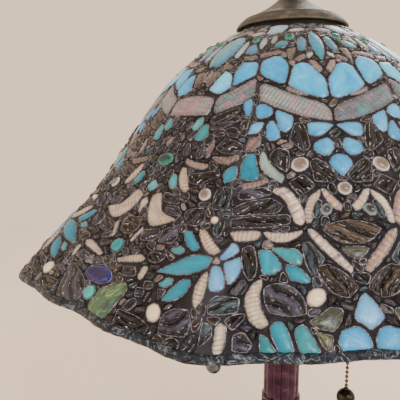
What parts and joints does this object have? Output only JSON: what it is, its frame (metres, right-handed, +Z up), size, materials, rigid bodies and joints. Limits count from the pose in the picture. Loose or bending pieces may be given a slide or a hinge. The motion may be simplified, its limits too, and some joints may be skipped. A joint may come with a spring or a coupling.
{
  "type": "leaded glass table lamp",
  "caption": "Table lamp with a bell-shaped leaded mosaic glass shade, vented cap and finial, on a reeded column and round foot, lit by a twin socket cluster with pull chains.",
  "frame": {"origin": "centre of the felt-edged face the lamp stands on", "axes": "+Z up along the column and the shade's axis; -Y is the front, the side the shade's front corner faces; +X to the right"},
  "size_m": [0.4638, 0.4638, 0.6173],
  "materials": {
    "bronze_patina": "red-brown bronze patina, satin",
    "cap_bronze": "dark olive-brown bronze, satin",
    "cast_iron": "rough sand-cast",
    "steel": "zinc plated",
    "aged_brass": "aged, satin",
    "solder_lead": "blue-grey patinated solder, lumpy",
    "mosaic_glass": "opalescent and ripple art glass in blue, cream and black, set in patinated lead",
    "bulb_glass": "frosted",
    "porcelain": "glazed",
    "card": "pressed fibre",
    "black_rubber": "moulded",
    "felt": "green felt"
  },
  "bodies": {
    "root": {"base_foot": "bronze_patina", "stem_flare": "bronze_patina", "stem_ornament": "bronze_patina", "stem_column": "bronze_patina", "stem_collar": "bronze_patina", "base_weight": "cast_iron", "felt_ring": "felt", "cord_bushing": "black_rubber", "foot_washer": "steel", "foot_locknut": "steel", "lamp_rod": "steel", "riser_locknut": "steel", "finial_stud": "steel", "cluster_hub": "aged_brass", "riser_tube": "aged_brass", "shade_spider": "aged_brass", "cluster_arm_left": "aged_brass", "socket_cap_left": "aged_brass", "socket_shell_left": "aged_brass", "socket_sleeve_left": "card", "socket_screw_shell_left": "aged_brass", "socket_base_left": "porcelain", "chain_mouth_left": "aged_brass", "cluster_arm_right": "aged_brass", "socket_cap_right": "aged_brass", "socket_shell_right": "aged_brass", "socket_sleeve_right": "card", "socket_screw_shell_right": "aged_brass", "socket_base_right": "porcelain", "chain_mouth_right": "aged_brass"},
    "shade": {"shade_panel_1": "mosaic_glass", "shade_panel_2": "mosaic_glass", "shade_panel_3": "mosaic_glass", "shade_panel_4": "mosaic_glass", "shade_panel_5": "mosaic_glass", "shade_panel_6": "mosaic_glass", "shade_panel_7": "mosaic_glass", "shade_panel_8": "mosaic_glass", "shade_rim_came": "solder_lead", "shade_top_ring": "aged_brass", "vented_cap": "cap_bronze"},
    "finial_screw": {"finial_insert": "aged_brass"},
    "finial": {"finial_knob": "bronze_patina"},
    "bulb_screw_left": {"bulb_contact_left": "steel"},
    "bulb_left": {"bulb_base_left": "steel", "bulb_glass_left": "bulb_glass"},
    "pull_left": {"chain_anchor_left": "aged_brass"},
    "chain_left": {"chain_upper_left": "aged_brass", "chain_coupler_left": "aged_brass"},
    "drop_left": {"chain_lower_left": "aged_brass", "pull_ball_left": "bronze_patina"},
    "bulb_screw_right": {"bulb_contact_right": "steel"},
    "bulb_right": {"bulb_base_right": "steel", "bulb_glass_right": "bulb_glass"},
    "pull_right": {"chain_anchor_right": "aged_brass"},
    "chain_right": {"chain_upper_right": "aged_brass", "chain_coupler_right": "aged_brass"},
    "drop_right": {"chain_lower_right": "aged_brass", "pull_ball_right": "bronze_patina"}
  },
  "joints": [
    {"name": "shade_turn", "type": "hinge", "parent": "root", "child": "shade", "pos_m": [0, 0, 0.53], "axis": [0, 0, 1], "continuous": true},
    {"name": "finial_lift", "type": "slide", "parent": "root", "child": "finial_screw", "axis": [0, 0, 1], "range_m": [0, 0.0076]},
    {"name": "finial_turn", "type": "hinge", "parent": "finial_screw", "child": "finial", "pos_m": [0, 0, 0.58], "axis": [0, 0, 1], "range_deg": [0, 2880]},
    {"name": "bulb_lift_left", "type": "slide", "parent": "root", "child": "bulb_screw_left", "axis": [0, 0, 1], "range_m": [0, 0.011]},
    {"name": "bulb_turn_left", "type": "hinge", "parent": "bulb_screw_left", "child": "bulb_left", "pos_m": [-0.0621, 0.01548, 0.4], "axis": [0, 0, 1], "range_deg": [0, 1080]},
    {"name": "chain_pull_left", "type": "slide", "parent": "root", "child": "pull_left", "axis": [0, 0, -1], "range_m": [0, 0.01], "stiffness_N_per_m": 800, "springref_m": -0.001},
    {"name": "chain_swing_left", "type": "hinge", "parent": "pull_left", "child": "chain_left", "pos_m": [-0.06742, -0.00586, 0.375], "axis": [-0.0866, 0.9962, 0], "range_deg": [-9, 12]},
    {"name": "ball_sway_left", "type": "hinge", "parent": "chain_left", "child": "drop_left", "pos_m": [-0.06742, -0.00586, 0.30035], "axis": [-0.9962, -0.0866, 0], "range_deg": [-15, 15]},
    {"name": "bulb_lift_right", "type": "slide", "parent": "root", "child": "bulb_screw_right", "axis": [0, 0, 1], "range_m": [0, 0.011]},
    {"name": "bulb_turn_right", "type": "hinge", "parent": "bulb_screw_right", "child": "bulb_right", "pos_m": [0.0621, -0.01548, 0.4], "axis": [0, 0, 1], "range_deg": [0, 1080]},
    {"name": "chain_pull_right", "type": "slide", "parent": "root", "child": "pull_right", "axis": [0, 0, -1], "range_m": [0, 0.01], "stiffness_N_per_m": 800, "springref_m": -0.001},
    {"name": "chain_swing_right", "type": "hinge", "parent": "pull_right", "child": "chain_right", "pos_m": [0.05678, -0.03683, 0.375], "axis": [-0.5442, -0.839, 0], "range_deg": [-9, 12]},
    {"name": "ball_sway_right", "type": "hinge", "parent": "chain_right", "child": "drop_right", "pos_m": [0.05678, -0.03683, 0.30035], "axis": [0.839, -0.5442, 0], "range_deg": [-15, 15]}
  ],
  "couplings": [
    {"joint": "finial_turn", "follows": "finial_lift", "rad_per_m": 6613.2},
    {"joint": "bulb_turn_left", "follows": "bulb_lift_left", "rad_per_m": 1713.4},
    {"joint": "bulb_turn_right", "follows": "bulb_lift_right", "rad_per_m": 1713.4}
  ]
}
